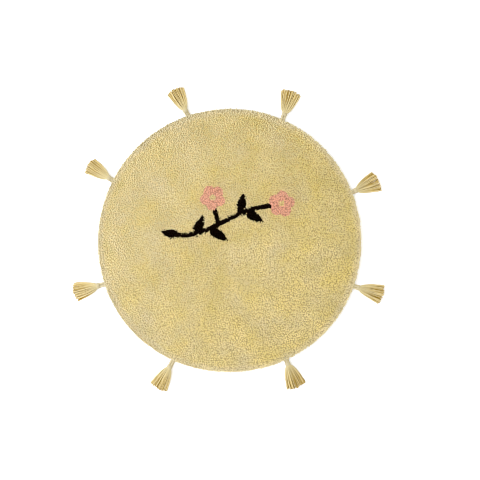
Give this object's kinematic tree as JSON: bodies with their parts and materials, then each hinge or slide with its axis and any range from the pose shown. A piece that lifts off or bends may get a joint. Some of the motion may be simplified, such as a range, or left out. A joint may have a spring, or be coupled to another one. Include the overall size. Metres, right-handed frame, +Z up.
{
  "type": "washable area rug",
  "caption": "Round tufted cotton rug that lies flat, with a sprig and raised blossoms in its pile and yarn tassels sewn round its edge.",
  "frame": {"origin": "centre of the round rug on its flat underside, where it meets the floor", "axes": "+Z up out of the pile, +Y towards the top of the design, +X to its right"},
  "size_m": [1.417, 1.3841, 0.021],
  "materials": {
    "straw_pile": "curly cut cotton pile, straw yellow, matt",
    "black_pile": "curly cut cotton pile, near black, matt",
    "pink_pile": "curly cut cotton pile, salmon pink, matt",
    "tassel_cord": "pale cotton yarn, sewn to the edge",
    "tassel_wrap": "pale cotton yarn in close turns",
    "tassel_yarn": "twisted golden straw cotton yarn, cut ends"
  },
  "bodies": {
    "root": {"rug_body": "straw_pile", "sprig": "black_pile", "blossom_right": "pink_pile", "blossom_right_centre": "straw_pile", "blossom_left": "pink_pile", "blossom_left_centre": "straw_pile", "tassel_1_cord": "tassel_cord", "tassel_1_wrap": "tassel_wrap", "tassel_1_skirt": "tassel_yarn", "tassel_2_cord": "tassel_cord", "tassel_2_wrap": "tassel_wrap", "tassel_2_skirt": "tassel_yarn", "tassel_3_cord": "tassel_cord", "tassel_3_wrap": "tassel_wrap", "tassel_3_skirt": "tassel_yarn", "tassel_4_cord": "tassel_cord", "tassel_4_wrap": "tassel_wrap", "tassel_4_skirt": "tassel_yarn", "tassel_5_cord": "tassel_cord", "tassel_5_wrap": "tassel_wrap", "tassel_5_skirt": "tassel_yarn", "tassel_6_cord": "tassel_cord", "tassel_6_wrap": "tassel_wrap", "tassel_6_skirt": "tassel_yarn", "tassel_7_cord": "tassel_cord", "tassel_7_wrap": "tassel_wrap", "tassel_7_skirt": "tassel_yarn", "tassel_8_cord": "tassel_cord", "tassel_8_wrap": "tassel_wrap", "tassel_8_skirt": "tassel_yarn"}
  },
  "joints": []
}
